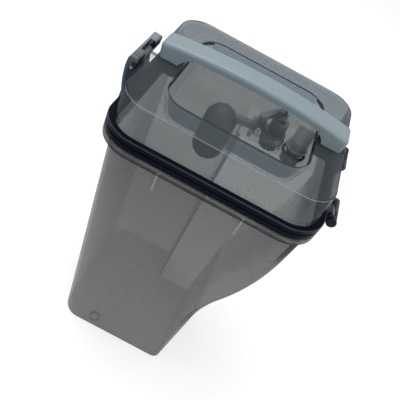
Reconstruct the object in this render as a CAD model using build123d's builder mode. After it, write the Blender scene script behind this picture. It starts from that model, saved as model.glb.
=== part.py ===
from build123d import *
import os
from math import cos, radians, sin, sqrt, tan

# Waste-water tank for a robot vacuum's docking station: a smoked tank on a narrow foot, a hinged lid with a
# bar handle over a finger tray, a clip latch, and a float valve on a shelf inside.
# Millimetres. X to the right (hinge side), Y to the back, Z up. The origin is on the foot's underside, below
# the middle of the lid.

# Walls and fits
wall = 2.5
seat_gap = 0.2  # between parts that rest on each other across a joint
press_gap = 0.02  # radial, pin in the part that holds it
running_gap = 0.08  # radial, pin in the part that turns
side_gap = 0.4  # between knuckles along a pin
edge_round = 0.8

# Lid
rim_z = 217.0
lid_width = 152.0
lid_depth = 146.0
lid_height = 30.0
lid_corner = 22.0
lid_draft = 2.5
lid_edge_round = 1.4
lid_lip = 2.6
lid_lip_thickness = 5.0

# Gasket: a channel that wraps the lid's lip
gasket_thickness = 1.8
gasket_side = 1.6
gasket_round = 1.2
gasket_tongue = 5.5
gasket_groove = 0.7
gasket_groove_width = 1.4

skirt_z = rim_z + seat_gap + gasket_thickness
lid_top = skirt_z + lid_height
gasket_reach = lid_lip + gasket_side

# Rim flange, gussets and the moulding point in the floor
flange_width = lid_width + 2 * gasket_reach
flange_depth = lid_depth + 2 * gasket_reach
flange_corner = lid_corner + gasket_reach
flange_thickness = 5.5
gusset_x = 31.0
gusset_height = 18.0
gusset_thickness = 1.6
gate_from_left = 30.3
gate_from_front = 6.4
gate_radius = 4.5
gate_height = 2.0
gate_bore_radius = 3.0
gate_bore_depth = 3.0

# Tank walls: how far each stands in from the flange's edge at the rim, and how much further in at the floor
left_ledge = 7.8
left_lean = 10.6
front_ledge = 3.2
front_lean = 7.6
back_ledge = 7.2
back_lean = 15.0
right_setback = 42.1
left_corner = 15.5
right_corner = 7.0

rim_left = left_ledge - flange_width / 2
foot_left = rim_left + left_lean
rim_front = front_ledge - flange_depth / 2
foot_front = rim_front + front_lean
rim_back = flange_depth / 2 - back_ledge
foot_back = rim_back - back_lean
foot_right = flange_width / 2 - right_setback

# Right wall: a straight shin, then an S-curve out to the rim
shin_height = 79.0
shin_draft = 3.4
sway_lean = 24.5
sway_hollow_radius = 114.0
sway_crown_radius = 200.0
brow_draft = 3.8

# Notch at the back right, open to the station's pipes, with a shelf over it
notch_width = 34.6
notch_depth = 48.7
notch_corner = 4.0
shelf_drop = 11.0

notch_x = foot_right - notch_width
notch_y = rim_back - notch_depth
shelf_z = rim_z - shelf_drop
notch_top = shelf_z - wall

# Finger tray in the lid
tray_side = 24.0
tray_end = 22.25
tray_corner = 17.0
tray_drop = 16.0
tray_draft = 16.0
tray_edge_round = 1.0

tray_width = lid_width - 2 * tray_side
tray_depth = lid_depth - 2 * tray_end

# Handle
handle_inset = 4.0
handle_width = 20.0
handle_end_rise = 11.0
handle_mid_rise = 16.2
handle_foot_length = 16.0
handle_clear_end = 8.8
handle_clear_mid = 10.2
handle_shoulder = 13.0
handle_edge_round = 3.0
handle_end_draft = 1.0
handle_channel_wall = 2.6
plug_length = 11.0
plug_width = 14.0
plug_corner = 3.0
plug_depth = 7.8
plug_gap = 0.2
socket_depth = 8.5
socket_floor = 2.5
socket_wall = 2.0
socket_inset = 10.0

handle_span = lid_width - 2 * handle_inset
socket_x = handle_span / 2 - socket_inset

# Screws
screw_radius = 2.0
screw_head_radius = 3.6
screw_head_height = 2.4
screw_length = 9.0
cross_share = 0.62  # of the head, for the screwdriver's cross
cross_width = 1.1
cross_depth = 0.9

# Latch on the left side, hung on a pin in the lid's knuckle
latch_reach = 2.4
latch_rise = 20.0
latch_pin_radius = 1.5
latch_barrel_radius = 2.8
latch_width = 48.0
latch_knuckle_width = 18.0
latch_release = 4.2  # degrees that the clip stands open at rest
latch_top = 8.0
latch_top_round = 2.4
latch_corner = 4.0
latch_outer = -4.3
latch_inner = 2.8
latch_rib = 2.5
latch_strap = 2.0
latch_bend = 20.0
latch_bulge = 0.6
latch_gap = 0.5
latch_hook_depth = 1.6
latch_hook_height = 3.0
latch_hook_gap = 0.3
scallop_depth = 3.7
scallop_width = 51.0
scallop_corner = 4.0

latch_pin_x = -flange_width / 2 - latch_reach
latch_pin_z = skirt_z + latch_rise
scallop_x = scallop_depth - lid_width / 2

# Hinge on the right side
hinge_reach = 5.8
hinge_rise = 1.8
hinge_barrel_radius = 3.6
hinge_pin_radius = 1.75
hinge_head_radius = 3.8
hinge_head_height = 1.8
tank_knuckle_mid = 29.3
tank_knuckle_width = 14.6
lid_arm_width = 8.0
lid_arm_rise = 13.0
lid_arm_clear = 8.0

hinge_x = flange_width / 2 + hinge_reach
hinge_z = skirt_z + hinge_rise
lid_arm_top = skirt_z + lid_arm_rise
lid_arm_bottom = skirt_z + lid_arm_clear
lid_arm_mid = tank_knuckle_mid + tank_knuckle_width / 2 + side_gap + lid_arm_width / 2

# Ports in the shelf: an air port and a water inlet, each a spigot that points down into the notch
air_from_notch_x = 26.5
air_from_notch_y = 20.7
inlet_from_air_x = 21.0
inlet_from_air_y = -5.0
spigot_radius = 8.0
spigot_length = 10.0
spigot_bore = 5.5
spigot_collar_radius = 8.6
port_gasket_radius = 10.4
port_gasket_thickness = 2.0
pipe_seal_radius = 9.0
pipe_seal_thickness = 1.0
pipe_flange_radius = 9.5
pipe_flange_thickness = 1.8
pipe_plug_length = 6.0
pipe_bore = 4.0
air_pipe_radius = 7.2
air_pipe_height = 13.2
inlet_pipe_radius = 6.5
inlet_pipe_height = 9.0

air_x = notch_x + air_from_notch_x
air_y = notch_y + air_from_notch_y
inlet_x = air_x + inlet_from_air_x
inlet_y = air_y + inlet_from_air_y
air_mouth_z = shelf_z + air_pipe_height
inlet_pipe_top = shelf_z + inlet_pipe_height

# Duckbill valve on the inlet pipe
duckbill_wall = 1.3
duckbill_collar = 5.0
duckbill_height = 13.0
duckbill_lip_length = 15.0
duckbill_lip_width = 3.2
duckbill_slit = 0.6

# Float lever: turns on lever_pin, with the float on the left and the stopper on the right
pivot_rise = 6.4
lever_hub_radius = 3.6
lever_hub_width = 8.0
lever_pin_radius = 1.5
lever_pin_head_radius = 3.4
lever_pin_head_height = 1.8
lever_web = 6.0
lever_plate = 2.0
crank_back = 2.6
crank_front = 4.6
close_angle = 15.0  # degrees from hanging float to closed valve
close_gap = 0.4
stopper_x = 13.3  # from the pivot, closed
stopper_y = 12.0
stopper_radius = 5.9
stopper_thickness = 2.6
stopper_stem_radius = 1.6
stopper_plate_radius = 4.6

pivot_x = air_x - stopper_x
pivot_y = air_y - stopper_y
pivot_z = shelf_z + pivot_rise

# Float
float_arm_length = 30.7
float_radius = 13.5
float_straight = 26.0
float_rise = 2.4
float_wall = 1.4
float_cap_height = 18.0
float_spigot = 4.0
float_spigot_gap = 0.1
float_arm_height = 5.0
float_arm_drop = 6.0
float_arm_inset = 9.0

float_x = pivot_x - float_arm_length
float_top = pivot_z + float_rise
float_split = float_top - float_cap_height

# Bracket on the shelf, measured from the lever's pivot
base_left_reach = 7.2
base_right_reach = 21.3
base_front_reach = 9.5
base_back_reach = 16.0
base_rise = 2.0
base_thickness = 1.8
base_pipe_gap = 0.5
base_leg_depth = 2.5
base_leg_width = 3.4
left_leg = 5.5
middle_leg = 5.8
right_leg = 12.3
cheek_thickness = 2.2
cheek_length = 9.0
front_screw_x = 17.9
front_screw_y = 4.8
back_screw_x = 2.2
back_screw_y = 11.8
post_radius = 3.2
base_screw_radius = 1.2
base_screw_head_radius = 2.6
base_screw_head_height = 1.8
base_screw_length = 4.5
base_screw_depth = 2.9

base_left = pivot_x - base_left_reach
base_right = pivot_x + base_right_reach
base_front = pivot_y - base_front_reach
base_back = pivot_y + base_back_reach
base_leg_places = (pivot_x - left_leg, pivot_x + middle_leg, pivot_x + right_leg)
base_screw_places = (
    (pivot_x + front_screw_x, pivot_y - front_screw_y),
    (pivot_x - back_screw_x, pivot_y + back_screw_y),
)

reach = 400.0  # longer than the whole tank, for cuts that run right through


def left_wall(z):
    return foot_left + (rim_left - foot_left) * z / rim_z


def front_wall(z):
    return foot_front + (rim_front - foot_front) * z / rim_z


def back_wall(z):
    return foot_back + (rim_back - foot_back) * z / rim_z


def upright(edge):
    """True for an edge that climbs, as the tank's corner edges do."""
    ends = edge @ 1 - edge @ 0
    return abs(ends.Z) > wall


def tank_form(inset, top):
    """The tank's outer form, or its hollow where inset is a wall's thickness."""
    with BuildPart() as form:
        with BuildSketch(Plane.XZ):
            with BuildLine():
                shin_top = foot_right + shin_height * tan(radians(shin_draft))
                shin = Line((foot_right, 0), (shin_top, shin_height))
                hollow = JernArc(shin @ 1, shin % 1, sway_hollow_radius, shin_draft - sway_lean)
                crown = JernArc(hollow @ 1, hollow % 1, sway_crown_radius, sway_lean - brow_draft)
                brow = crown @ 1
                brow_rise = top - brow.Y
                Polyline(
                    brow,
                    (brow.X + brow_rise * tan(radians(brow_draft)), top),
                    (left_wall(top), top),
                    (foot_left, 0),
                    (foot_right, 0),
                )
            make_face()
            if inset:
                offset(amount=-inset, kind=Kind.INTERSECTION)
        extrude(amount=reach, both=True)
        with BuildSketch(Plane.YZ):
            with BuildLine():
                Polyline(
                    (foot_front, 0),
                    (foot_back, 0),
                    (back_wall(top), top),
                    (front_wall(top), top),
                    close=True,
                )
            make_face()
            if inset:
                offset(amount=-inset, kind=Kind.INTERSECTION)
        extrude(amount=reach, both=True, mode=Mode.INTERSECT)
        corners = form.edges().filter_by(upright)
        fillet(corners.filter_by(lambda edge: edge.center().X < 0), left_corner - inset)
        corners = form.edges().filter_by(upright)
        fillet(corners.filter_by(lambda edge: edge.center().X > 0), right_corner - inset)
        with BuildSketch() as notch:
            with Locations((notch_x - inset, notch_y - inset)):
                Rectangle(reach, reach, align=(Align.MIN, Align.MIN))
            fillet(notch.vertices().sort_by(Axis.X).sort_by(Axis.Y)[:1], notch_corner + inset)
        extrude(amount=notch_top + inset, mode=Mode.SUBTRACT)
    return form.part


def lid_form(inset, top):
    """The lid's outer form above its skirt, or its hollow where inset is a wall's thickness."""
    with BuildPart() as form:
        with BuildSketch(Plane.XY.offset(skirt_z)):
            RectangleRounded(lid_width - 2 * inset, lid_depth - 2 * inset, lid_corner - inset)
        extrude(amount=top - skirt_z, taper=lid_draft)
        with BuildSketch(Plane.XY.offset(skirt_z)):
            scallop_length = lid_width / 2
            with Locations((scallop_x + inset - scallop_length / 2, 0)):
                RectangleRounded(scallop_length, scallop_width + 2 * inset, scallop_corner)
        extrude(amount=lid_height, mode=Mode.SUBTRACT)
    return form.part


def ring(outer, inner, thickness, place):
    """A flat seal whose lower face is centred on place."""
    with BuildPart() as seal:
        with BuildSketch(Plane(place)):
            Circle(outer)
            Circle(inner, mode=Mode.SUBTRACT)
        extrude(amount=thickness)
    return seal.part


def across(y):
    """A plane that faces the front at depth y, with X to the right and Z up."""
    return Plane((0, y, 0), x_dir=(1, 0, 0), z_dir=(0, -1, 0))


def turned(x, y, z, angle):
    """A front-facing plane at a pivot, turned so that its left side rises by angle."""
    lean = radians(angle)
    return Plane((x, y, z), x_dir=(cos(lean), 0, -sin(lean)), z_dir=(0, -1, 0))


# Tank body
tank_outer = tank_form(0, rim_z)
tank_hollow = tank_form(wall, rim_z + 2 * wall)
flange_z = rim_z - flange_thickness

with BuildPart() as tank_body:
    with BuildSketch(Plane.XY.offset(flange_z)):
        RectangleRounded(flange_width, flange_depth, flange_corner)
    extrude(amount=flange_thickness)
    fillet(tank_body.faces().sort_by(Axis.Z)[-1].edges(), edge_round)
    add(tank_outer)
    # Gussets under the front of the flange
    for gusset_side in (-1, 1):
        with BuildSketch(Plane.YZ.offset(gusset_side * gusset_x)):
            with BuildLine():
                Polyline(
                    (front_wall(flange_z) + wall / 2, flange_z),
                    (-flange_depth / 2 + edge_round, flange_z),
                    (front_wall(flange_z - gusset_height), flange_z - gusset_height),
                    (front_wall(flange_z - gusset_height) + wall / 2, flange_z - gusset_height),
                    close=True,
                )
            make_face()
        extrude(amount=gusset_thickness / 2, both=True)
    # Hinge knuckles, each on a web that climbs from the flange
    for knuckle_side in (-1, 1):
        with BuildSketch(across(knuckle_side * tank_knuckle_mid)):
            with BuildLine():
                Polyline(
                    (flange_width / 2 - flange_thickness, flange_z),
                    (hinge_x, flange_z + edge_round),
                    (hinge_x + hinge_barrel_radius, hinge_z),
                    (hinge_x - hinge_barrel_radius, hinge_z),
                    (flange_width / 2 + edge_round, rim_z),
                    (flange_width / 2 - flange_thickness, rim_z),
                    close=True,
                )
            make_face()
            with Locations((hinge_x, hinge_z)):
                Circle(hinge_barrel_radius)
        extrude(amount=tank_knuckle_width / 2, both=True)
    with BuildSketch(Plane.XZ):
        with Locations((hinge_x, hinge_z)):
            Circle(hinge_pin_radius + press_gap)
    extrude(amount=reach, both=True, mode=Mode.SUBTRACT)
    add(tank_hollow, mode=Mode.SUBTRACT)
    # Spigots under the shelf, with their bores
    with BuildSketch(Plane.XY.offset(notch_top)):
        with Locations((air_x, air_y), (inlet_x, inlet_y)):
            Circle(spigot_radius)
    extrude(amount=-spigot_length)
    with BuildSketch(Plane.XY.offset(notch_top)):
        with Locations((air_x, air_y), (inlet_x, inlet_y)):
            Circle(spigot_collar_radius)
    extrude(amount=-port_gasket_thickness)
    with BuildSketch(Plane.XY.offset(shelf_z)):
        with Locations((air_x, air_y), (inlet_x, inlet_y)):
            Circle(spigot_bore)
    extrude(amount=-spigot_length - wall, mode=Mode.SUBTRACT)
    # Posts for the bracket's screws
    with BuildSketch(Plane.XY.offset(shelf_z)):
        with Locations(*base_screw_places):
            Circle(post_radius)
    extrude(amount=base_rise)
    with BuildSketch(Plane.XY.offset(shelf_z + base_rise)):
        with Locations(*base_screw_places):
            Circle(base_screw_radius + press_gap)
    extrude(amount=-base_screw_depth, mode=Mode.SUBTRACT)
    # Moulding point: a low round boss in the floor with a blind hole below
    with BuildSketch():
        with Locations((foot_left + gate_from_left, foot_front + gate_from_front)):
            Circle(gate_radius)
    extrude(amount=wall + gate_height)
    with BuildSketch():
        with Locations((foot_left + gate_from_left, foot_front + gate_from_front)):
            Circle(gate_bore_radius)
    extrude(amount=gate_bore_depth, mode=Mode.SUBTRACT)


def over_tray(edge):
    """True for an edge within the finger tray's outline."""
    middle = edge.center()
    return abs(middle.X) < tray_width / 2 + wall and abs(middle.Y) < tray_depth / 2 + wall


# Lid
lid_outer = lid_form(0, lid_top)
lid_hollow = lid_form(wall, lid_top - wall)
socket_floor_z = lid_top - socket_depth

with BuildPart() as tank_lid:
    add(lid_outer)
    fillet(tank_lid.faces().sort_by(Axis.Z)[-1].edges(), lid_edge_round)
    with BuildSketch(Plane.XY.offset(skirt_z)):
        RectangleRounded(lid_width + 2 * lid_lip, lid_depth + 2 * lid_lip, lid_corner + lid_lip)
    extrude(amount=lid_lip_thickness)
    add(lid_hollow, mode=Mode.SUBTRACT)
    # Finger tray
    with BuildSketch(Plane.XY.offset(lid_top)):
        RectangleRounded(tray_width + 2 * wall, tray_depth + 2 * wall, tray_corner + wall)
    extrude(amount=-tray_drop - wall, taper=tray_draft)
    # Sockets for the handle's plugs
    with BuildSketch(Plane.XY.offset(lid_top)):
        with Locations((-socket_x, 0), (socket_x, 0)):
            RectangleRounded(
                plug_length + 2 * (plug_gap + socket_wall),
                plug_width + 2 * (plug_gap + socket_wall),
                plug_corner + plug_gap + socket_wall,
            )
    extrude(amount=-socket_depth - socket_floor)
    with BuildSketch(Plane.XY.offset(lid_top)):
        RectangleRounded(tray_width, tray_depth, tray_corner)
    extrude(amount=-tray_drop, taper=tray_draft, mode=Mode.SUBTRACT)
    fillet(tank_lid.edges().group_by(Axis.Z)[-1].filter_by(over_tray), tray_edge_round)
    with BuildSketch(Plane.XY.offset(lid_top)):
        with Locations((-socket_x, 0), (socket_x, 0)):
            RectangleRounded(plug_length + 2 * plug_gap, plug_width + 2 * plug_gap, plug_corner + plug_gap)
    extrude(amount=-socket_depth, mode=Mode.SUBTRACT)
    with BuildSketch(Plane.XY.offset(socket_floor_z)):
        with Locations((-socket_x, 0), (socket_x, 0)):
            Circle(screw_radius + running_gap)
    extrude(amount=-socket_floor, mode=Mode.SUBTRACT)
    # Latch knuckle on a web from the scallop's wall
    with BuildSketch(Plane.XZ):
        with Locations((latch_pin_x, latch_pin_z)):
            Circle(latch_barrel_radius)
        with Locations((latch_pin_x, latch_pin_z)):
            Rectangle(
                scallop_x + wall / 2 - latch_pin_x,
                latch_barrel_radius,
                align=(Align.MIN, Align.MAX),
            )
        with Locations((latch_pin_x, latch_pin_z)):
            Circle(latch_pin_radius + press_gap, mode=Mode.SUBTRACT)
    extrude(amount=latch_knuckle_width / 2, both=True)
    # Hinge arms
    for arm_side in (-1, 1):
        with BuildSketch(across(arm_side * lid_arm_mid)):
            with BuildLine():
                Polyline(
                    (lid_width / 2 - wall / 2, lid_arm_top),
                    (hinge_x - hinge_barrel_radius, lid_arm_top - hinge_barrel_radius),
                    (hinge_x + hinge_barrel_radius, hinge_z),
                    (hinge_x - hinge_barrel_radius, hinge_z),
                    (hinge_x - hinge_barrel_radius, lid_arm_bottom),
                    (lid_width / 2 - wall / 2, lid_arm_bottom),
                    close=True,
                )
            make_face()
            with Locations((hinge_x, hinge_z)):
                Circle(hinge_barrel_radius)
                Circle(hinge_pin_radius + running_gap, mode=Mode.SUBTRACT)
        extrude(amount=lid_arm_width / 2, both=True)

# Gasket
with BuildPart() as lid_gasket:
    with BuildSketch(Plane.XY.offset(rim_z + seat_gap)):
        RectangleRounded(flange_width, flange_depth, flange_corner)
    extrude(amount=2 * gasket_thickness + lid_lip_thickness)
    fillet(lid_gasket.faces().sort_by(Axis.Z)[-1].edges(), gasket_round)
    with BuildSketch(Plane.XY.offset(skirt_z + (lid_lip_thickness - gasket_groove_width) / 2)):
        RectangleRounded(flange_width, flange_depth, flange_corner)
        RectangleRounded(
            flange_width - 2 * gasket_groove,
            flange_depth - 2 * gasket_groove,
            flange_corner - gasket_groove,
            mode=Mode.SUBTRACT,
        )
    extrude(amount=gasket_groove_width, mode=Mode.SUBTRACT)
    with BuildSketch(Plane.XY.offset(rim_z + seat_gap)):
        RectangleRounded(
            flange_width - 2 * gasket_tongue,
            flange_depth - 2 * gasket_tongue,
            flange_corner - gasket_tongue,
        )
    extrude(amount=gasket_thickness, mode=Mode.SUBTRACT)
    with BuildSketch(Plane.XY.offset(skirt_z)):
        RectangleRounded(lid_width + 2 * lid_lip, lid_depth + 2 * lid_lip, lid_corner + lid_lip)
    extrude(amount=lid_lip_thickness, mode=Mode.SUBTRACT)
    with BuildSketch(Plane.XY.offset(skirt_z + lid_lip_thickness)):
        RectangleRounded(lid_width, lid_depth, lid_corner)
    extrude(amount=gasket_thickness, mode=Mode.SUBTRACT)

# Handle
handle_end = handle_span / 2
handle_foot_inner = handle_end - handle_foot_length
grip_end = handle_foot_inner - handle_shoulder
crest_drop = handle_mid_rise - handle_end_rise
crest_radius = (handle_end**2 + crest_drop**2) / (2 * crest_drop)


def crest_z(x):
    return lid_top + handle_mid_rise - crest_radius + sqrt(crest_radius**2 - x**2)


def end_edge(edge):
    """True for the upright edges at the handle's two ends."""
    return upright(edge) and abs(edge.center().X) > handle_foot_inner + handle_foot_length / 2


with BuildPart() as carry_handle:
    with BuildSketch(Plane.XZ):
        with BuildLine():
            ThreePointArc(
                (-handle_end, crest_z(handle_end)),
                (0, crest_z(0)),
                (handle_end, crest_z(handle_end)),
            )
            ThreePointArc(
                (-grip_end, lid_top + handle_clear_end),
                (0, lid_top + handle_clear_mid),
                (grip_end, lid_top + handle_clear_end),
            )
            for end in (-1, 1):
                foot = (end * handle_foot_inner, lid_top)
                Polyline(
                    (end * handle_end, crest_z(handle_end)),
                    (end * (handle_end - handle_end_draft), lid_top),
                    foot,
                )
                TangentArc((end * grip_end, lid_top + handle_clear_end), foot, tangent=(end, 0))
        make_face()
    extrude(amount=handle_width / 2, both=True)
    fillet(carry_handle.edges().filter_by(end_edge), handle_edge_round)
    fillet(carry_handle.faces().sort_by(Axis.Z)[-1].edges(), handle_edge_round)
    # Channel under the grip
    with BuildSketch(Plane.XZ):
        with BuildLine():
            roof = ThreePointArc(
                (-grip_end, crest_z(grip_end) - handle_channel_wall),
                (0, crest_z(0) - handle_channel_wall),
                (grip_end, crest_z(grip_end) - handle_channel_wall),
            )
            Polyline(roof @ 1, (grip_end, lid_top), (-grip_end, lid_top), roof @ 0)
        make_face()
    extrude(amount=handle_width / 2 - handle_channel_wall, both=True, mode=Mode.SUBTRACT)
    # Plugs with screw holes
    with BuildSketch(Plane.XY.offset(lid_top)):
        with Locations((-socket_x, 0), (socket_x, 0)):
            RectangleRounded(plug_length, plug_width, plug_corner)
    extrude(amount=-plug_depth)
    with BuildSketch(Plane.XY.offset(lid_top - plug_depth)):
        with Locations((-socket_x, 0), (socket_x, 0)):
            Circle(screw_radius + press_gap)
    extrude(amount=screw_length, mode=Mode.SUBTRACT)


def screws(places, seat_z, turn, radius, length, head_radius, head_height):
    """Pan-head screws whose heads sit on seat_z: shanks run up where turn is 1 and down where it is -1."""
    with BuildPart() as group:
        with BuildSketch(Plane.XY.offset(seat_z)):
            with Locations(*places):
                Circle(head_radius)
        extrude(amount=-turn * head_height)
        crowns = group.faces().group_by(Axis.Z)[-1 if turn < 0 else 0]
        chamfer(crowns.edges(), head_height / 3)
        with BuildSketch(Plane.XY.offset(seat_z)):
            with Locations(*places):
                Circle(radius)
        extrude(amount=turn * length)
        cross_length = 2 * head_radius * cross_share
        with BuildSketch(Plane.XY.offset(seat_z - turn * head_height)):
            with Locations(*places):
                Rectangle(cross_length, cross_width)
                Rectangle(cross_width, cross_length)
        extrude(amount=turn * cross_depth, mode=Mode.SUBTRACT)
    return group.part


handle_screws = screws(
    ((-socket_x, 0), (socket_x, 0)),
    socket_floor_z - socket_floor,
    1,
    screw_radius,
    screw_length,
    screw_head_radius,
    screw_head_height,
)

# Latch, drawn in its clipped position about its pin and turned open by latch_release
latch_plane = turned(latch_pin_x, 0, latch_pin_z, latch_release)
rim_edge = -flange_width / 2 - latch_pin_x
strap_inner = rim_edge - latch_gap
strap_outer = strap_inner - latch_strap
strap_mid = (latch_outer + strap_outer) / 2 - latch_bulge
hook_top = flange_z - latch_pin_z - latch_hook_gap
hook_bottom = hook_top - latch_hook_height

with BuildPart() as lid_latch:
    with BuildSketch(latch_plane) as latch_profile:
        with BuildLine():
            head = Polyline(
                (latch_outer, 0),
                (latch_outer, latch_top),
                (latch_inner, latch_top),
                (latch_inner, 0),
                (latch_outer + latch_strap, 0),
            )
            hook = Polyline(
                (strap_inner, -latch_bend),
                (strap_inner, hook_top),
                (rim_edge + latch_hook_depth, hook_top),
                (rim_edge + latch_hook_depth, hook_top - latch_hook_height / 2),
                (strap_inner, hook_bottom),
                (strap_outer, hook_bottom),
                (strap_outer, -latch_bend),
            )
            ThreePointArc(head @ 1, (strap_mid + latch_strap, -latch_bend / 2), hook @ 0)
            ThreePointArc(hook @ 1, (strap_mid, -latch_bend / 2), head @ 0)
        make_face()
        fillet(latch_profile.vertices().sort_by(Axis.Y)[-2:], latch_top_round)
        Circle(latch_barrel_radius)
        Circle(latch_pin_radius + running_gap, mode=Mode.SUBTRACT)
    extrude(amount=latch_width / 2, both=True)
    # Rounded corners, as seen from the left
    with BuildSketch(Plane(latch_plane.origin, x_dir=(0, 1, 0), z_dir=latch_plane.x_dir)):
        with Locations((0, (latch_top + hook_bottom) / 2)):
            RectangleRounded(latch_width, latch_top - hook_bottom, latch_corner)
    extrude(amount=reach, both=True, mode=Mode.INTERSECT)
    # Window for the lid's knuckle, with a rib left along the outer edge
    with BuildSketch(latch_plane):
        Circle(latch_barrel_radius + latch_gap)
        with Locations((latch_outer + latch_rib, -latch_barrel_radius - latch_gap)):
            Rectangle(reach, reach, align=(Align.MIN, Align.MIN))
    extrude(amount=latch_knuckle_width / 2 + side_gap, both=True, mode=Mode.SUBTRACT)

with BuildPart() as latch_pin:
    with BuildSketch(across(0)):
        with Locations((latch_pin_x, latch_pin_z)):
            Circle(latch_pin_radius)
    extrude(amount=latch_width / 2, both=True)
    chamfer(latch_pin.edges(), latch_pin_radius / 4)


def hinge_pin(side):
    """A headed pin, pressed into a tank knuckle, on which the lid's arm turns."""
    start = Plane(
        (hinge_x, side * (tank_knuckle_mid - tank_knuckle_width / 2), hinge_z),
        x_dir=(1, 0, 0),
        z_dir=(0, side, 0),
    )
    shank = tank_knuckle_width + side_gap + lid_arm_width + seat_gap
    with BuildPart() as pin:
        with BuildSketch(start):
            Circle(hinge_pin_radius)
        extrude(amount=shank)
        with BuildSketch(start.offset(shank)):
            Circle(hinge_head_radius)
        extrude(amount=hinge_head_height)
        crown = pin.faces().sort_by(Axis.Y)[-1 if side > 0 else 0]
        fillet(crown.edges(), hinge_head_height / 2)
    return pin.part


hinge_pin_front = hinge_pin(-1)
hinge_pin_rear = hinge_pin(1)

# Bracket on the shelf
base_z = shelf_z + base_rise
cheek_inner = lever_hub_width / 2 + side_gap
cheek_outer = cheek_inner + cheek_thickness

with BuildPart() as valve_base:
    with BuildSketch(Plane.XY.offset(base_z)):
        with Locations((base_left, base_front)):
            Rectangle(base_right - base_left, base_back - base_front, align=(Align.MIN, Align.MIN))
        with Locations((air_x, air_y)):
            Circle(pipe_flange_radius + base_pipe_gap, mode=Mode.SUBTRACT)
        with Locations((pivot_x + cheek_length / 2, pivot_y)):
            Rectangle(reach, 2 * cheek_inner, align=(Align.MAX, Align.CENTER), mode=Mode.SUBTRACT)
        with Locations((pivot_x, pivot_y - cheek_outer)):
            Rectangle(
                2 * (lever_pin_head_radius + side_gap),
                reach,
                align=(Align.CENTER, Align.MAX),
                mode=Mode.SUBTRACT,
            )
        with Locations(*base_screw_places):
            Circle(base_screw_radius + running_gap, mode=Mode.SUBTRACT)
    extrude(amount=base_thickness)
    with BuildSketch(Plane.XY.offset(base_z)):
        for leg_x in base_leg_places:
            with Locations((leg_x, base_front)):
                Rectangle(base_leg_width, base_leg_depth, align=(Align.CENTER, Align.MIN))
    extrude(amount=-base_rise)
    for cheek_side in (-1, 1):
        with BuildSketch(across(pivot_y + cheek_side * (cheek_inner + cheek_thickness / 2))):
            with Locations((pivot_x, pivot_z)):
                Circle(cheek_length / 2)
                Rectangle(cheek_length, pivot_z - base_z, align=(Align.CENTER, Align.MAX))
                Circle(lever_pin_radius + press_gap, mode=Mode.SUBTRACT)
        extrude(amount=cheek_thickness / 2, both=True)

base_screws = screws(
    base_screw_places,
    base_z + base_thickness,
    -1,
    base_screw_radius,
    base_screw_length,
    base_screw_head_radius,
    base_screw_head_height,
)

with BuildPart() as lever_pin:
    with BuildSketch(across(pivot_y - cheek_outer)):
        with Locations((pivot_x, pivot_z)):
            Circle(lever_pin_radius)
    extrude(amount=-2 * cheek_outer)
    with BuildSketch(across(pivot_y - cheek_outer)):
        with Locations((pivot_x, pivot_z)):
            Circle(lever_pin_head_radius)
    extrude(amount=lever_pin_head_height)
    fillet(lever_pin.faces().sort_by(Axis.Y)[0].edges(), lever_pin_head_height / 2)

# Float lever, with the upper half of the float: the crank is drawn closed and turned back by close_angle
lever_plane = turned(pivot_x, pivot_y, pivot_z, -close_angle)
plate_bottom = air_mouth_z - pivot_z + close_gap + stopper_thickness
plate_plane = Plane(
    lever_plane.from_local_coords((0, plate_bottom, 0)),
    x_dir=lever_plane.x_dir,
    z_dir=lever_plane.y_dir,
)
float_shoulder = float_top - float_radius
float_heel = float_shoulder - float_straight
float_axis = Axis((float_x, pivot_y, 0), (0, 0, 1))

with BuildPart() as float_lever:
    with BuildSketch(lever_plane):
        Circle(lever_hub_radius)
    extrude(amount=lever_hub_width / 2, both=True)
    with BuildSketch(lever_plane):
        with Locations((-crank_back, 0)):
            Rectangle(crank_back + crank_front, plate_bottom, align=(Align.MIN, Align.MIN))
    extrude(amount=lever_web / 2, both=True)
    with BuildSketch(plate_plane):
        with Locations(((crank_front - crank_back) / 2, 0)):
            Circle((crank_front + crank_back) / 2)
        with Locations((stopper_x, stopper_y)):
            Circle(stopper_plate_radius)
        make_hull()
        with Locations((stopper_x, stopper_y)):
            Circle(stopper_stem_radius + press_gap, mode=Mode.SUBTRACT)
    extrude(amount=lever_plate)
    # Arm to the float
    with BuildSketch(across(pivot_y)):
        with BuildLine():
            arm_end = float_x + float_arm_inset
            arm_z = float_top - float_arm_drop
            half = float_arm_height / 2
            Polyline(
                (pivot_x, pivot_z + half),
                (arm_end, arm_z + half),
                (arm_end, arm_z - half),
                (pivot_x, pivot_z - half),
                close=True,
            )
        make_face()
    extrude(amount=lever_web / 2, both=True)
    # Upper half of the float
    with BuildSketch(across(pivot_y)):
        with BuildLine():
            Polyline(
                (float_x, float_top),
                (float_x, float_split),
                (float_x + float_radius, float_split),
                (float_x + float_radius, float_shoulder),
            )
            RadiusArc((float_x + float_radius, float_shoulder), (float_x, float_top), -float_radius)
        make_face()
    revolve(axis=float_axis)
    with BuildSketch(across(pivot_y)):
        with BuildLine():
            shell = float_radius - float_wall
            Polyline(
                (float_x, float_shoulder + shell),
                (float_x, float_split),
                (float_x + shell, float_split),
                (float_x + shell, float_shoulder),
            )
            RadiusArc((float_x + shell, float_shoulder), (float_x, float_shoulder + shell), -shell)
        make_face()
    revolve(axis=float_axis, mode=Mode.SUBTRACT)
    with BuildSketch(lever_plane):
        Circle(lever_pin_radius + running_gap)
    extrude(amount=lever_hub_width, both=True, mode=Mode.SUBTRACT)

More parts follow.
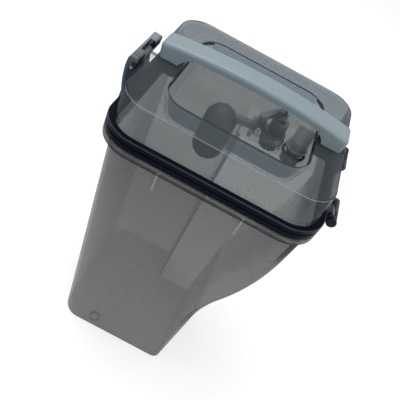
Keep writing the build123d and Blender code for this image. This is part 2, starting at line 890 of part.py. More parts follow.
# Lower half of the float, with a spigot that enters the upper half
with BuildPart() as float_cup:
    with BuildSketch(across(pivot_y)):
        with BuildLine():
            spigot_outer = float_radius - float_wall - float_spigot_gap
            spigot_inner = spigot_outer - float_wall
            shell = float_radius - float_wall
            RadiusArc((float_x, float_heel - float_radius), (float_x + float_radius, float_heel), -float_radius)
            Polyline(
                (float_x + float_radius, float_heel),
                (float_x + float_radius, float_split),
                (float_x + spigot_outer, float_split),
                (float_x + spigot_outer, float_split + float_spigot),
                (float_x + spigot_inner, float_split + float_spigot),
                (float_x + spigot_inner, float_split - float_spigot),
                (float_x + shell, float_split - float_spigot - float_wall),
                (float_x + shell, float_heel),
            )
            RadiusArc((float_x + shell, float_heel), (float_x, float_heel - shell), shell)
            Line((float_x, float_heel - shell), (float_x, float_heel - float_radius))
        make_face()
    revolve(axis=float_axis)

with BuildPart() as valve_stopper:
    with BuildSketch(plate_plane):
        with Locations((stopper_x, stopper_y)):
            Circle(stopper_radius)
    extrude(amount=-stopper_thickness)
    chamfer(valve_stopper.edges().sort_by(Axis.Z)[:1], stopper_thickness / 3)
    with BuildSketch(plate_plane):
        with Locations((stopper_x, stopper_y)):
            Circle(stopper_stem_radius)
    extrude(amount=lever_plate)
    with BuildSketch(plate_plane.offset(lever_plate)):
        with Locations((stopper_x, stopper_y)):
            Circle(stopper_stem_radius + lever_plate / 2)
    extrude(amount=lever_plate / 2)


def standpipe(x, y, radius, top):
    """An upright pipe with a flange on its seal and a plug in the port below."""
    flange_low = shelf_z + pipe_seal_thickness
    with BuildPart() as pipe:
        with BuildSketch(Plane.XY.offset(shelf_z - pipe_plug_length)):
            with Locations((x, y)):
                Circle(spigot_bore - running_gap)
        extrude(amount=pipe_plug_length + pipe_seal_thickness)
        with BuildSketch(Plane.XY.offset(flange_low)):
            with Locations((x, y)):
                Circle(pipe_flange_radius)
        extrude(amount=pipe_flange_thickness)
        with BuildSketch(Plane.XY.offset(flange_low)):
            with Locations((x, y)):
                Circle(radius)
        extrude(amount=top - flange_low)
        with BuildSketch(Plane.XY.offset(top)):
            with Locations((x, y)):
                Circle(pipe_bore)
        extrude(amount=-reach, mode=Mode.SUBTRACT)
    return pipe.part


air_standpipe = standpipe(air_x, air_y, air_pipe_radius, air_mouth_z)
inlet_pipe = standpipe(inlet_x, inlet_y, inlet_pipe_radius, inlet_pipe_top)

air_pipe_seal = ring(pipe_seal_radius, spigot_bore, pipe_seal_thickness, (air_x, air_y, shelf_z))
inlet_pipe_seal = ring(pipe_seal_radius, spigot_bore, pipe_seal_thickness, (inlet_x, inlet_y, shelf_z))
port_gasket_z = notch_top - port_gasket_thickness
port_gasket_bore = spigot_collar_radius + press_gap
air_port_gasket = ring(
    port_gasket_radius, port_gasket_bore, port_gasket_thickness, (air_x, air_y, port_gasket_z)
)
inlet_port_gasket = ring(
    port_gasket_radius, port_gasket_bore, port_gasket_thickness, (inlet_x, inlet_y, port_gasket_z)
)

# Duckbill valve: a collar on the inlet pipe that narrows to a slit
duckbill_radius = inlet_pipe_radius + duckbill_wall

with BuildPart() as duckbill_valve:
    with BuildSketch(Plane((inlet_x, inlet_y, inlet_pipe_top - duckbill_collar))):
        Circle(duckbill_radius)
    extrude(amount=duckbill_collar)
    with BuildSketch(Plane((inlet_x, inlet_y, inlet_pipe_top))):
        Circle(duckbill_radius)
    with BuildSketch(Plane((inlet_x, inlet_y, inlet_pipe_top + duckbill_height))):
        Ellipse(duckbill_lip_length / 2, duckbill_lip_width / 2)
    loft()
    with BuildSketch(Plane((inlet_x, inlet_y, inlet_pipe_top - duckbill_collar))):
        Circle(inlet_pipe_radius + press_gap)
    extrude(amount=duckbill_collar, mode=Mode.SUBTRACT)
    with BuildSketch(Plane((inlet_x, inlet_y, inlet_pipe_top))):
        Circle(inlet_pipe_radius + press_gap)
    with BuildSketch(Plane((inlet_x, inlet_y, inlet_pipe_top + duckbill_height))):
        Ellipse(duckbill_lip_length / 2 - duckbill_wall, duckbill_slit / 2)
    loft(mode=Mode.SUBTRACT)

pieces = {
    "tank_body": tank_body.part,
    "tank_lid": tank_lid.part,
    "lid_gasket": lid_gasket.part,
    "carry_handle": carry_handle.part,
    "handle_screws": handle_screws,
    "lid_latch": lid_latch.part,
    "latch_pin": latch_pin.part,
    "hinge_pin_front": hinge_pin_front,
    "hinge_pin_rear": hinge_pin_rear,
    "valve_base": valve_base.part,
    "base_screws": base_screws,
    "lever_pin": lever_pin.part,
    "float_lever": float_lever.part,
    "float_cup": float_cup.part,
    "valve_stopper": valve_stopper.part,
    "air_standpipe": air_standpipe,
    "inlet_pipe": inlet_pipe,
    "air_pipe_seal": air_pipe_seal,
    "inlet_pipe_seal": inlet_pipe_seal,
    "air_port_gasket": air_port_gasket,
    "inlet_port_gasket": inlet_port_gasket,
    "duckbill_valve": duckbill_valve.part,
}

os.makedirs("parts", exist_ok=True)
for name, piece in pieces.items():
    piece.label = name
    export_step(piece, f"parts/{name}.step")
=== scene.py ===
import math

import bpy
from mathutils import Matrix, Vector
from mathutils.bvhtree import BVHTree


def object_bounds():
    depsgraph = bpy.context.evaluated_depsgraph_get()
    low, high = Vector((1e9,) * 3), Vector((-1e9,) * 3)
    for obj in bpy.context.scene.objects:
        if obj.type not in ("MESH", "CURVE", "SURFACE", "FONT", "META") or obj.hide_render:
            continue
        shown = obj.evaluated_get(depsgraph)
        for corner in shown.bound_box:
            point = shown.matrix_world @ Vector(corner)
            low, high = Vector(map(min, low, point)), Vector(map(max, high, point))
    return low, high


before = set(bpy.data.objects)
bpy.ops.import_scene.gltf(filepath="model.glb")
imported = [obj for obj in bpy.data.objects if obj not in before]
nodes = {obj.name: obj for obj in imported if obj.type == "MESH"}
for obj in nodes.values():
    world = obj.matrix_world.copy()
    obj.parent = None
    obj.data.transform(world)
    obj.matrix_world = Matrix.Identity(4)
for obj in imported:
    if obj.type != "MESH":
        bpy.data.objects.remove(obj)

cad_low, cad_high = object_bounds()
scene = bpy.context.scene
WHITE = (1.0, 1.0, 1.0, 1.0)

# Camera, fitted to the photograph
CAMERA_PLACE = (-0.006704, -0.320119, 0.431236)
CAMERA_AZIMUTH = -1.7008
CAMERA_ELEVATION = 42.1926
CAMERA_ROLL = 29.4023
CAMERA_LENS = 46.2253
SENSOR_WIDTH = 36.0
CLIP_START = 0.01
CLIP_END = 50.0

azimuth = math.radians(CAMERA_AZIMUTH)
elevation = math.radians(CAMERA_ELEVATION)
roll = math.radians(CAMERA_ROLL)
back = Vector(
    (
        math.sin(azimuth) * math.cos(elevation),
        -math.cos(azimuth) * math.cos(elevation),
        math.sin(elevation),
    )
)
right = Vector((math.cos(azimuth), math.sin(azimuth), 0.0))
up = back.cross(right)
camera_x = math.cos(roll) * right + math.sin(roll) * up
camera_y = math.cos(roll) * up - math.sin(roll) * right
camera_data = bpy.data.cameras.new("camera")
camera_data.sensor_width = SENSOR_WIDTH
camera_data.lens = CAMERA_LENS
camera_data.clip_start = CLIP_START
camera_data.clip_end = CLIP_END
camera = bpy.data.objects.new("camera", camera_data)
scene.collection.objects.link(camera)
turned = Matrix((camera_x, camera_y, back)).transposed()
camera.matrix_world = Matrix.Translation(CAMERA_PLACE) @ turned.to_4x4()
scene.camera = camera
scene.view_settings.view_transform = "Standard"

# Places on the part that the shading follows, in metres
SPANS = {"Y": (-0.08, 0.08), "Z": (0.0, 0.25)}
FLOOR_HIGH = 0.004
GATE = Vector((-0.0315, -0.0600))
GATE_RADIUS = 0.006
GATE_HIGH = 0.006
SHIN_TOP = 0.080
RIGHT_START = 0.0235
NOTCH_CORNER = Vector((0.0035, 0.0213))
NOTCH_ROUND = 0.009
NOTCH_BACK = 0.030
GUSSET_X = 0.031
GUSSET_HALF = 0.0012
GUSSET_BACK = -0.060
GUSSET_LOW = 0.192
RIM_LOW = 0.2115
RIM_TOP = 0.217
HINGE_SIDE = 0.0806
LIP_HIGH = 0.2200
LIP_BACK = 0.060
GASKET_ROUND = 0.2246
TRAY_X = 0.0545
TRAY_Y = 0.0530
TRAY_LOW = 0.2325
SOCKET_X = (0.0533, 0.0706)
SOCKET_Y = 0.0093
SOCKET_LOW = 0.2378
LID_TOP = 0.249
LID_EDGE_LOW = 0.2474
KNUCKLE = -0.0785
LATCH_BAR_LOW = 0.242
ARM_START = 0.0005
CRANK_START = 0.022

# Shares of a face's normal that tell which way the face looks
LEVEL = 0.9
RIM_LEVEL = 0.97
UPRIGHT = 0.5
LEANING = 0.3
SQUARE = 0.85
NOTCH_SQUARE = 0.9
RIGHT_LEANING = 0.2
CORNER_LEANING = 0.45
LID_FRONT_LEANING = 0.35
TRAY_END_LEANING = 0.6
LIT_BAR_TILT = 0.35
ROUNDED = (0.05, 0.995)
PAINTED_SHEEN_TILT = (0.3, 0.72)
RUBBER_HIGHLIGHT_TILT = (0.25, 0.9)

# Patterns of the materials, and the depths of their bumps in metres
MOTTLING = {"scale": 18.0, "detail": 4.0}
GLOSS_PATCHES = {"scale": 54.0, "detail": 5.0, "roughness": 0.6}
STEEL_STREAKS = {"scale": 300.0, "detail": 3.0, "roughness": 0.6, "stretch": (1.0, 6.0, 1.0)}
STEEL_GRAIN = {"scale": 2500.0}
FLOW = {"scale": 14.0, "detail": 3.0}
SMEARS = {"scale": 45.0, "detail": 6.0, "roughness": 0.62, "stretch": (1.0, 1.0, 0.4)}
SMEAR_SPAN = (0.35, 0.75)
RIPPLES = {"scale": 60.0, "detail": 3.0}
GRAIN_DETAIL = 3.0
GRAIN_DEPTH = 0.0002
POLISH_DEPTH = 0.0001
POLISH_STRENGTH = 0.1
RIPPLE_STRENGTH = 0.04

# Where a see-through face counts as seen edge on, from 0 for square to 1
EDGE_ON = 0.97
FACING_BLEND = 0.5


def new_material(name):
    material = bpy.data.materials.new(name)
    material.use_nodes = True
    tree = material.node_tree
    tree.nodes.clear()
    return material, tree


def add(tree, kind, **inputs):
    """A new node with some inputs set or linked; a name's underscores stand for spaces."""
    node = tree.nodes.new(kind)
    for name, value in inputs.items():
        socket = node.inputs[name.replace("_", " ")]
        if isinstance(value, bpy.types.NodeSocket):
            tree.links.new(value, socket)
        else:
            socket.default_value = value
    return node


def ramp(tree, factor, stops):
    """A colour ramp through (place, grey or colour) stops."""
    node = add(tree, "ShaderNodeValToRGB", Fac=factor)
    elements = node.color_ramp.elements
    while len(elements) < len(stops):
        elements.new(0.5)
    for element, (place, value) in zip(elements, stops):
        element.position = place
        colour = value if isinstance(value, tuple) else (value, value, value)
        element.color = (*colour, 1.0)
    return node.outputs["Color"]


def blend(tree, factor, pair, span=(0.3, 0.7)):
    """A ramp between a pair of values over the middle of a noise."""
    return ramp(tree, factor, tuple(zip(span, pair)))


def object_place(tree):
    """The object's own coordinates, which are the part's metres."""
    return tree.nodes.new("ShaderNodeTexCoord").outputs["Object"]


def noise(tree, scale, detail=2.0, roughness=0.5, stretch=None):
    place = object_place(tree)
    if stretch:
        place = add(tree, "ShaderNodeMapping", Vector=place, Scale=stretch).outputs["Vector"]
    node = add(
        tree, "ShaderNodeTexNoise", Vector=place, Scale=scale, Detail=detail, Roughness=roughness
    )
    return node.outputs["Fac"]


def bump(tree, height, strength, distance):
    node = add(tree, "ShaderNodeBump", Height=height, Strength=strength, Distance=distance)
    return node.outputs["Normal"]


def plastic(name, shades, rough, grain, depth, specular=0.5):
    """Moulded plastic or rubber: two close shades, fine grain and patches of more or less shine."""
    material, tree = new_material(name)
    surface = add(
        tree,
        "ShaderNodeBsdfPrincipled",
        Base_Color=blend(tree, noise(tree, **MOTTLING), shades),
        Roughness=blend(tree, noise(tree, **GLOSS_PATCHES), rough),
        Normal=bump(tree, noise(tree, grain, GRAIN_DETAIL), depth, GRAIN_DEPTH),
        Specular_IOR_Level=specular,
    )
    add(tree, "ShaderNodeOutputMaterial", Surface=surface.outputs["BSDF"])
    return material


def steel(name, shades, rough):
    """Turned steel: fine streaks of brightness and roughness."""
    material, tree = new_material(name)
    streaks = noise(tree, **STEEL_STREAKS)
    surface = add(
        tree,
        "ShaderNodeBsdfPrincipled",
        Base_Color=blend(tree, streaks, shades),
        Roughness=blend(tree, streaks, rough),
        Metallic=1.0,
        Normal=bump(tree, noise(tree, **STEEL_GRAIN), POLISH_STRENGTH, POLISH_DEPTH),
    )
    add(tree, "ShaderNodeOutputMaterial", Surface=surface.outputs["BSDF"])
    return material


def dim(tree, colour, axis, stops):
    """Scales a colour by (place, share) stops along one of the part's axes."""
    start, end = SPANS[axis]
    along = add(tree, "ShaderNodeSeparateXYZ", Vector=object_place(tree)).outputs[axis]
    reach = add(tree, "ShaderNodeMapRange", Value=along, From_Min=start, From_Max=end)
    shares = [((place - start) / (end - start), share) for place, share in stops]
    dimmed = tree.nodes.new("ShaderNodeVectorMath")
    dimmed.operation = "MULTIPLY"
    tree.links.new(colour, dimmed.inputs[0])
    tree.links.new(ramp(tree, reach.outputs["Result"], shares), dimmed.inputs[1])
    return dimmed.outputs["Vector"]


def smoked(name, tint, edge_tint, body, haze, rough, specular=0.4, turn=0.55, **shares):
    """See-through smoked plastic. Each face passes tint of what lies behind it, or edge_tint at a
    glancing angle, where light takes another way through the wall, and adds a haze of its own grey.
    The change starts at turn. Shares are (place, share) stops along Y or Z that scale both: painted
    shade and painted light across a wall, and dark lines, as where a wall is seen along its end."""
    material, tree = new_material(name)
    facing = add(tree, "ShaderNodeLayerWeight", Blend=FACING_BLEND).outputs["Facing"]
    shade = blend(tree, noise(tree, **FLOW), body)
    passed = ramp(tree, facing, ((0.0, tint), (turn, tint), (EDGE_ON, edge_tint)))
    for axis, stops in shares.items():
        shade = dim(tree, shade, axis, stops)
        passed = dim(tree, passed, axis, stops)
    surface = add(
        tree,
        "ShaderNodeBsdfPrincipled",
        Base_Color=shade,
        Roughness=blend(tree, noise(tree, **SMEARS), rough, SMEAR_SPAN),
        Normal=bump(tree, noise(tree, **RIPPLES), RIPPLE_STRENGTH, GRAIN_DEPTH),
        Specular_IOR_Level=specular,
    )
    clear = add(tree, "ShaderNodeBsdfTransparent", Color=passed)
    cover = ramp(tree, facing, ((0.0, haze[0]), (turn, haze[0]), (1.0, haze[1])))
    mixed = add(tree, "ShaderNodeMixShader", Fac=cover)
    tree.links.new(clear.outputs["BSDF"], mixed.inputs[1])
    tree.links.new(surface.outputs["BSDF"], mixed.inputs[2])
    add(tree, "ShaderNodeOutputMaterial", Surface=mixed.outputs["Shader"])
    return material


# Smoked plastics of the tank
TANK_GREY = ((0.184, 0.185, 0.187), (0.198, 0.199, 0.201))
TANK_GLOSS = (0.24, 0.38)
FOOT_LINE = ((0.0, 0.42), (0.0008, 0.42), (0.0018, 1.0))
# Painted shade: past the bottom line, the Z stops darken the wall towards the flange
TANK = smoked(
    "smoked_tank",
    tint=(0.75, 0.75, 0.745),
    edge_tint=(0.90, 0.90, 0.91),
    body=TANK_GREY,
    haze=(0.54, 0.48),
    rough=TANK_GLOSS,
    specular=0.28,
    turn=0.40,
    Z=(*FOOT_LINE, (0.10, 1.0), (0.14, 0.94), (0.18, 0.80), (RIM_LOW, 0.70)),
)
# Painted shade: the stops darken the left wall towards the top and the back
TANK_LEFT = smoked(
    "smoked_tank_left",
    tint=(0.64, 0.64, 0.65),
    edge_tint=(0.76, 0.76, 0.77),
    body=TANK_GREY,
    haze=(0.48, 0.48),
    rough=TANK_GLOSS,
    specular=0.28,
    turn=0.40,
    Z=(*FOOT_LINE, (0.04, 1.0), (0.15, 0.84), (RIM_LOW, 0.74)),
    Y=((-0.062, 1.0), (-0.040, 0.88), (-0.010, 0.64), (0.020, 0.48), (0.070, 0.46)),
)
TANK_BACK = smoked(
    "smoked_tank_back",
    tint=(0.52, 0.52, 0.515),
    edge_tint=(0.12, 0.13, 0.15),
    body=((0.172, 0.173, 0.174), (0.186, 0.187, 0.188)),
    haze=(0.54, 0.54),
    rough=TANK_GLOSS,
    specular=0.25,
    turn=0.62,
)
TANK_NOTCH = smoked(
    "smoked_tank_notch",
    tint=(0.66, 0.66, 0.655),
    edge_tint=(0.16, 0.17, 0.19),
    body=TANK_GREY,
    haze=(0.54, 0.54),
    rough=TANK_GLOSS,
    specular=0.25,
    turn=0.62,
)
# Painted shade on the right wall: darker at its foot, towards the flange and midway back
TANK_RIGHT = smoked(
    "smoked_tank_right",
    tint=(0.66, 0.66, 0.66),
    edge_tint=(0.46, 0.465, 0.47),
    body=((0.166, 0.167, 0.169), (0.180, 0.181, 0.183)),
    haze=(0.54, 0.25),
    rough=TANK_GLOSS,
    specular=0.1,
    turn=0.35,
    Z=(
        (0.079, 0.60),
        (0.092, 0.94),
        (0.172, 0.91),
        (0.186, 0.78),
        (0.199, 0.38),
        (RIM_LOW, 0.30),
    ),
    Y=(
        (-0.060, 1.0),
        (-0.042, 0.97),
        (-0.033, 0.76),
        (-0.018, 0.68),
        (0.005, 0.76),
        (0.060, 1.0),
    ),
)
# Painted shade: the stops darken the lower right wall towards its top and the back
TANK_SHIN = smoked(
    "smoked_tank_shin",
    tint=(0.70, 0.71, 0.73),
    edge_tint=(0.50, 0.52, 0.56),
    body=((0.190, 0.194, 0.204), (0.205, 0.209, 0.219)),
    haze=(0.54, 0.54),
    rough=TANK_GLOSS,
    specular=0.15,
    turn=0.40,
    Z=(*FOOT_LINE, (0.055, 1.0), (0.079, 0.7)),
    Y=((-0.065, 1.0), (-0.045, 0.97), (-0.026, 0.66), (0.020, 0.56)),
)
TANK_INSIDE = smoked(
    "smoked_tank_inside",
    tint=(0.95, 0.95, 0.95),
    edge_tint=(0.80, 0.81, 0.82),
    body=((0.110, 0.112, 0.114), (0.130, 0.132, 0.134)),
    haze=(0.02, 0.03),
    rough=(0.30, 0.45),
    specular=0.1,
)
# Painted light: a pale, hazy bottom that hides the shade on the floor beneath the tank
LIT_FOOT = smoked(
    "smoked_foot_painted_light",
    tint=(0.80, 0.80, 0.80),
    edge_tint=(0.80, 0.80, 0.80),
    body=((0.56, 0.565, 0.575), (0.60, 0.605, 0.615)),
    haze=(0.85, 0.85),
    rough=(0.40, 0.55),
    specular=0.1,
)
FLANGE = smoked(
    "smoked_flange",
    tint=(0.58, 0.59, 0.60),
    edge_tint=(0.20, 0.22, 0.26),
    body=((0.090, 0.094, 0.100), (0.110, 0.114, 0.120)),
    haze=(0.42, 0.46),
    rough=(0.14, 0.26),
    specular=0.3,
    Z=((0.2120, 0.25), (0.2130, 1.0), (0.2152, 1.0), (0.2160, 0.4)),
)

# Smoked plastics of the lid, and of edges on the tank and lid
LID_GLOSS = (0.10, 0.20)
EDGE_GLOSS = (0.12, 0.22)
TRAY_GLOSS = (0.12, 0.24)
TRAY_RIM = ((0.2330, 1.0), (0.2462, 1.0), (0.2470, 0.12), (LID_TOP, 0.12))
TRAY_LOOK = {
    "tint": (0.60, 0.70, 0.78),
    "edge_tint": (0.30, 0.37, 0.45),
    "body": ((0.140, 0.172, 0.200), (0.160, 0.192, 0.220)),
    "haze": (0.26, 0.26),
    "rough": TRAY_GLOSS,
    "turn": 0.60,
}
LID = smoked(
    "smoked_lid",
    tint=(0.735, 0.775, 0.785),
    edge_tint=(0.02, 0.035, 0.06),
    body=((0.115, 0.132, 0.142), (0.135, 0.152, 0.162)),
    haze=(0.24, 0.12),
    rough=LID_GLOSS,
    turn=0.50,
)
LID_BACK = smoked(
    "smoked_lid_back",
    tint=(0.45, 0.475, 0.485),
    edge_tint=(0.10, 0.12, 0.15),
    body=((0.115, 0.130, 0.138), (0.135, 0.150, 0.158)),
    haze=(0.24, 0.20),
    rough=LID_GLOSS,
    turn=0.60,
)
LID_SIDE = smoked(
    "smoked_lid_side",
    tint=(0.30, 0.35, 0.40),
    edge_tint=(0.14, 0.17, 0.20),
    body=((0.040, 0.050, 0.060), (0.052, 0.062, 0.073)),
    haze=(0.45, 0.55),
    rough=LID_GLOSS,
    turn=0.50,
)
LIP = smoked(
    "smoked_lip",
    tint=(0.05, 0.11, 0.20),
    edge_tint=(0.03, 0.05, 0.09),
    body=((0.005, 0.014, 0.030), (0.008, 0.019, 0.038)),
    haze=(0.50, 0.50),
    rough=EDGE_GLOSS,
)
LID_INSIDE = smoked(
    "smoked_lid_inside",
    tint=(0.95, 0.955, 0.96),
    edge_tint=(0.66, 0.69, 0.73),
    body=((0.110, 0.116, 0.120), (0.130, 0.136, 0.140)),
    haze=(0.02, 0.03),
    rough=(0.25, 0.40),
    specular=0.1,
)
TRAY = smoked("smoked_tray_wall", **TRAY_LOOK, Z=TRAY_RIM)
TRAY_BACK = smoked("smoked_tray_back", **TRAY_LOOK)
TRAY_END = smoked(
    "smoked_tray_end",
    tint=(0.86, 0.88, 0.89),
    edge_tint=(0.66, 0.69, 0.71),
    body=((0.120, 0.140, 0.150), (0.140, 0.160, 0.170)),
    haze=(0.10, 0.12),
    rough=TRAY_GLOSS,
    Z=TRAY_RIM,
)
EDGE = smoked(
    "smoked_edge",
    tint=(0.16, 0.19, 0.24),
    edge_tint=(0.06, 0.08, 0.11),
    body=((0.010, 0.013, 0.019), (0.016, 0.020, 0.028)),
    haze=(0.45, 0.45),
    rough=EDGE_GLOSS,
)
# Painted highlight: a light plastic for the lid's front top edge and the gussets' front faces
PAINTED_SHEEN = smoked(
    "smoked_edge_painted_highlight",
    tint=(0.5, 0.53, 0.55),
    edge_tint=(0.4, 0.43, 0.46),
    body=((0.30, 0.33, 0.35), (0.38, 0.41, 0.43)),
    haze=(0.45, 0.5),
    rough=EDGE_GLOSS,
)
CUP = smoked(
    "smoked_socket",
    tint=(0.36, 0.40, 0.45),
    edge_tint=(0.14, 0.17, 0.21),
    body=((0.030, 0.038, 0.050), (0.042, 0.050, 0.062)),
    haze=(0.55, 0.65),
    rough=(0.18, 0.30),
)

# Smoked plastics of the latch and the float valve
LATCH_GLOSS = (0.14, 0.28)
FLOAT_GLOSS = (0.20, 0.34)
VALVE_GLOSS = (0.15, 0.28)
DUSK = smoked(
    "smoked_dark",
    tint=(0.34, 0.385, 0.45),
    edge_tint=(0.10, 0.12, 0.16),
    body=((0.021, 0.027, 0.040), (0.031, 0.038, 0.053)),
    haze=(0.40, 0.55),
    rough=LATCH_GLOSS,
)
# Painted light: a lighter plastic for the latch bar's upward faces and the lid's knuckle; its Y
# stops make it darker at the front and lighter at the back
LIT_BAR = smoked(
    "smoked_bar_painted_light",
    tint=(0.40, 0.44, 0.48),
    edge_tint=(0.20, 0.23, 0.27),
    body=((0.185, 0.212, 0.246), (0.212, 0.240, 0.276)),
    haze=(0.70, 0.75),
    rough=LATCH_GLOSS,
    Y=((-0.024, 0.34), (-0.012, 0.75), (0.0, 1.0), (0.024, 1.25)),
)
FLOAT = smoked(
    "smoked_float",
    tint=(0.70, 0.72, 0.74),
    edge_tint=(0.62, 0.64, 0.66),
    body=((0.215, 0.232, 0.256), (0.265, 0.282, 0.306)),
    haze=(0.62, 0.80),
    rough=FLOAT_GLOSS,
)
ARM = smoked(
    "smoked_arm",
    tint=(0.80, 0.82, 0.83),
    edge_tint=(0.66, 0.69, 0.71),
    body=((0.300, 0.322, 0.338), (0.360, 0.382, 0.398)),
    haze=(0.50, 0.60),
    rough=FLOAT_GLOSS,
)
CLEAR = smoked(
    "clear_silicone",
    tint=(0.88, 0.89, 0.90),
    edge_tint=(0.60, 0.62, 0.64),
    body=((0.60, 0.62, 0.63), (0.76, 0.78, 0.79)),
    haze=(0.58, 0.85),
    rough=(0.2, 0.35),
)
FEED = smoked(
    "smoked_feed_pipe",
    tint=(0.80, 0.815, 0.815),
    edge_tint=(0.45, 0.48, 0.50),
    body=((0.38, 0.40, 0.41), (0.47, 0.49, 0.50)),
    haze=(0.94, 0.96),
    rough=VALVE_GLOSS,
)
BRACKET = smoked(
    "smoked_bracket",
    tint=(0.80, 0.815, 0.815),
    edge_tint=(0.30, 0.33, 0.36),
    body=((0.28, 0.295, 0.30), (0.34, 0.355, 0.36)),
    haze=(0.40, 0.45),
    rough=VALVE_GLOSS,
)

# Plastics, rubbers and steels that hide what lies behind them
HANDLE = plastic(
    "handle_grey",
    shades=((0.166, 0.216, 0.243), (0.182, 0.236, 0.265)),
    rough=(0.42, 0.52),
    grain=1600.0,
    depth=0.12,
)
RUBBER = plastic(
    "black_rubber",
    shades=((0.003, 0.004, 0.009), (0.005, 0.006, 0.012)),
    rough=(0.30, 0.42),
    grain=900.0,
    depth=0.04,
    specular=0.03,
)
# Painted highlight: a lighter rubber along the gasket's upper rounded edge
RUBBER_HIGHLIGHT = plastic(
    "rubber_painted_highlight",
    shades=((0.022, 0.027, 0.039), (0.030, 0.036, 0.049)),
    rough=(0.24, 0.34),
    grain=900.0,
    depth=0.04,
    specular=0.12,
)
DARK = plastic(
    "dark_plastic",
    shades=((0.010, 0.013, 0.021), (0.017, 0.021, 0.031)),
    rough=(0.35, 0.48),
    grain=1500.0,
    depth=0.12,
    specular=0.06,
)
PIPE = plastic(
    "pipe_plastic",
    shades=((0.165, 0.200, 0.208), (0.195, 0.230, 0.238)),
    rough=(0.35, 0.48),
    grain=1500.0,
    depth=0.12,
    specular=0.3,
)
STEEL = steel("bright_steel", ((0.55, 0.55, 0.57), (0.70, 0.70, 0.72)), (0.2, 0.32))
DULL = steel("dull_steel", ((0.16, 0.17, 0.18), (0.24, 0.25, 0.26)), (0.35, 0.5))

# Each node's own material and smooth shading
LOOKS = {
    "tank_body": TANK,
    "tank_lid": LID,
    "inlet_pipe": FEED,
    "valve_base": BRACKET,
    "lid_latch": DUSK,
    "float_lever": FLOAT,
    "float_cup": FLOAT,
    "duckbill_valve": CLEAR,
    "carry_handle": HANDLE,
    "lid_gasket": RUBBER,
    "valve_stopper": PIPE,
    "air_pipe_seal": RUBBER,
    "inlet_pipe_seal": RUBBER,
    "air_port_gasket": RUBBER,
    "inlet_port_gasket": RUBBER,
    "air_standpipe": PIPE,
    "hinge_pin_front": DARK,
    "hinge_pin_rear": DARK,
    "handle_screws": STEEL,
    "base_screws": STEEL,
    "lever_pin": STEEL,
    "latch_pin": DULL,
}
SMOOTH_BELOW = math.radians(32.0)
for name, material in LOOKS.items():
    mesh = nodes[name].data
    mesh.materials.clear()
    mesh.materials.append(material)
    mesh.shade_smooth()
    mesh.set_sharp_from_angle(angle=SMOOTH_BELOW)

# Faces that have a material of their own
OFF_FACE = 0.001
TANK_WAYS = ((-1, 0, 0), (0, -1, 0), (0, 0, -1))
LID_WAYS = ((-1, 0, 0), (1, 0, 0), (0, -1, 0), (0, 1, 0), (0, 0, 1))


def within(value, span):
    return span[0] < value < span[1]


def enclosed_faces(mesh, ways):
    """Numbers of the faces that look into the moulding's hollow: from a place just off the face,
    every one of the ways meets the moulding."""
    tree = BVHTree.FromPolygons(
        [vertex.co for vertex in mesh.vertices], [face.vertices for face in mesh.polygons]
    )
    found = set()
    for face in mesh.polygons:
        place = face.center + OFF_FACE * face.normal
        if all(tree.ray_cast(place, Vector(way))[0] is not None for way in ways):
            found.add(face.index)
    return found


def dress(name, choose, looks, ways=()):
    """Gives each face of a node the material that choose returns for it."""
    mesh = nodes[name].data
    enclosed = enclosed_faces(mesh, ways) if ways else ()
    mesh.materials.clear()
    for look in looks:
        mesh.materials.append(look)
    for face in mesh.polygons:
        look = choose(face.center, face.normal, face.index in enclosed)
        face.material_index = looks.index(look)


def tank_look(centre, normal, enclosed):
    by_gate = (centre.xy - GATE).length < GATE_RADIUS and centre.z < GATE_HIGH
    if by_gate and abs(normal.z) < UPRIGHT:
        return EDGE
    if centre.z < FLOOR_HIGH and abs(normal.z) > LEVEL:
        # The bottom faces get painted light
        return LIT_FOOT
    if centre.x > HINGE_SIDE:
        return DUSK
    in_gusset = abs(abs(centre.x) - GUSSET_X) < GUSSET_HALF and centre.y < GUSSET_BACK
    if in_gusset and GUSSET_LOW < centre.z < RIM_LOW:
        # Painted highlight on the gussets' front faces
        return PAINTED_SHEEN if normal.y < -LEANING else TANK
    if (centre.xy - NOTCH_CORNER).length < NOTCH_ROUND:
        if abs(normal.x) > CORNER_LEANING and abs(normal.y) > CORNER_LEANING:
            return TANK_INSIDE if enclosed else EDGE
    if RIM_LOW < centre.z < RIM_TOP and abs(normal.z) < RIM_LEVEL and not enclosed:
        return FLANGE
    if enclosed:
        return TANK_INSIDE
    if normal.x > RIGHT_LEANING and centre.x > RIGHT_START:
        return TANK_RIGHT if centre.z > SHIN_TOP else TANK_SHIN
    if normal.y > LEANING or normal.x > LEANING:
        return TANK_NOTCH if normal.y > NOTCH_SQUARE and centre.y < NOTCH_BACK else TANK_BACK
    return TANK_LEFT if normal.x < -SQUARE else TANK


def lid_look(centre, normal, enclosed):
    if centre.x < KNUCKLE:
        # The knuckle takes the latch bar's painted light
        return LIT_BAR
    if centre.x > HINGE_SIDE:
        return DUSK
    by_socket = within(abs(centre.x), SOCKET_X) and abs(centre.y) < SOCKET_Y
    if by_socket and centre.z > SOCKET_LOW and normal.z < LEVEL:
        return CUP
    in_tray = abs(centre.x) < TRAY_X and abs(centre.y) < TRAY_Y and centre.z > TRAY_LOW
    if centre.z > LID_EDGE_LOW and within(normal.z, ROUNDED):
        if in_tray:
            return EDGE
        if normal.y < -LID_FRONT_LEANING:
            # Painted highlight along the lid's front top edge
            return PAINTED_SHEEN if within(normal.z, PAINTED_SHEEN_TILT) else LID
        return EDGE if abs(normal.x) > LEANING else LID
    if normal.z < -LEVEL and centre.z < LIP_HIGH and centre.y < LIP_BACK:
        return LIP
    if enclosed or normal.z < -LEVEL:
        return LID_INSIDE
    if in_tray and normal.z < LEVEL:
        if abs(normal.x) > TRAY_END_LEANING:
            return TRAY_END
        return TRAY_BACK if normal.y < -LEANING else TRAY
    if normal.x > SQUARE:
        return LID_SIDE
    return LID_BACK if normal.y > LEANING else LID


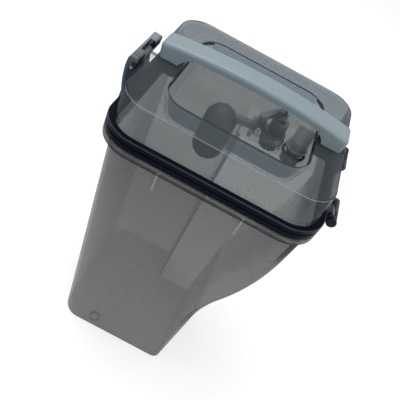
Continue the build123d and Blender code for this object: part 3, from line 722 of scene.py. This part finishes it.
def gasket_look(centre, normal, enclosed):
    # Painted highlight along the gasket's upper rounded edge
    return RUBBER_HIGHLIGHT if centre.z > GASKET_ROUND and within(normal.z, RUBBER_HIGHLIGHT_TILT) else RUBBER


def latch_look(centre, normal, enclosed):
    # The latch bar's upward faces get painted light
    return LIT_BAR if normal.z > LIT_BAR_TILT and centre.z > LATCH_BAR_LOW else DUSK


def lever_look(centre, normal, enclosed):
    if centre.x > CRANK_START:
        return DARK
    return ARM if centre.x > ARM_START else FLOAT


TANK_LOOKS = (
    TANK,
    TANK_LEFT,
    TANK_BACK,
    TANK_NOTCH,
    TANK_RIGHT,
    TANK_SHIN,
    TANK_INSIDE,
    LIT_FOOT,
    FLANGE,
    EDGE,
    PAINTED_SHEEN,
    DUSK,
)
LID_LOOKS = (
    LID,
    LID_BACK,
    LID_SIDE,
    LID_INSIDE,
    LIP,
    TRAY,
    TRAY_BACK,
    TRAY_END,
    CUP,
    LIT_BAR,
    EDGE,
    PAINTED_SHEEN,
    DUSK,
)
dress("tank_body", tank_look, TANK_LOOKS, TANK_WAYS)
dress("tank_lid", lid_look, LID_LOOKS, LID_WAYS)
dress("lid_gasket", gasket_look, (RUBBER, RUBBER_HIGHLIGHT))
dress("lid_latch", latch_look, (DUSK, LIT_BAR))
dress("float_lever", lever_look, (FLOAT, ARM, DARK))

# Floor, lifted to white only where it is seen, reflected or looked at through glass
FLOOR_HALF = 3.0
FLOOR_DROP = 0.0002
FLOOR_GREY = (0.5, 0.5, 0.5, 1.0)
FLOOR_LIFT = 0.55
floor_mesh = bpy.data.meshes.new("floor")
floor_mesh.from_pydata(
    [(x * FLOOR_HALF, y * FLOOR_HALF, 0.0) for x, y in ((-1, -1), (1, -1), (1, 1), (-1, 1))],
    [],
    [(0, 1, 2, 3)],
)
floor = bpy.data.objects.new("floor", floor_mesh)
floor.location.z = cad_low.z - FLOOR_DROP
scene.collection.objects.link(floor)
floor_material, floor_tree = new_material("floor_white")
path = floor_tree.nodes.new("ShaderNodeLightPath")
seen = path.outputs["Is Camera Ray"]
for ray in ("Is Glossy Ray", "Is Transmission Ray"):
    either = floor_tree.nodes.new("ShaderNodeMath")
    either.operation = "MAXIMUM"
    floor_tree.links.new(seen, either.inputs[0])
    floor_tree.links.new(path.outputs[ray], either.inputs[1])
    seen = either.outputs[0]
share = floor_tree.nodes.new("ShaderNodeMath")
share.operation = "MULTIPLY"
share.inputs[1].default_value = FLOOR_LIFT
floor_tree.links.new(seen, share.inputs[0])
matt = add(floor_tree, "ShaderNodeBsdfDiffuse", Color=FLOOR_GREY)
lift = add(floor_tree, "ShaderNodeEmission", Color=WHITE, Strength=share.outputs[0])
both = floor_tree.nodes.new("ShaderNodeAddShader")
floor_tree.links.new(matt.outputs[0], both.inputs[0])
floor_tree.links.new(lift.outputs[0], both.inputs[1])
add(floor_tree, "ShaderNodeOutputMaterial", Surface=both.outputs[0])
floor_mesh.materials.append(floor_material)

# Soft studio light, with powers in watts
SKY_STRENGTH = 0.62
LIGHT_AIM = Vector((0.0, 0.0, 0.15))
LAMPS = (
    ("key_light", (-0.35, 0.25, 1.3), (1.0, 0.8), 11.0),
    ("fill_light", (0.7, -0.9, 0.9), (0.9, 0.9), 7.0),
)
world = bpy.data.worlds.new("studio")
scene.world = world
world.use_nodes = True
world_tree = world.node_tree
world_tree.nodes.clear()
sky = add(world_tree, "ShaderNodeBackground", Color=WHITE, Strength=SKY_STRENGTH)
add(world_tree, "ShaderNodeOutputWorld", Surface=sky.outputs[0])
for name, place, size, power in LAMPS:
    light_data = bpy.data.lights.new(name, "AREA")
    light_data.shape = "RECTANGLE"
    light_data.size, light_data.size_y = size
    light_data.energy = power
    light = bpy.data.objects.new(name, light_data)
    light.location = place
    light.rotation_mode = "QUATERNION"
    light.rotation_quaternion = (LIGHT_AIM - Vector(place)).to_track_quat("-Z", "Y")
    scene.collection.objects.link(light)
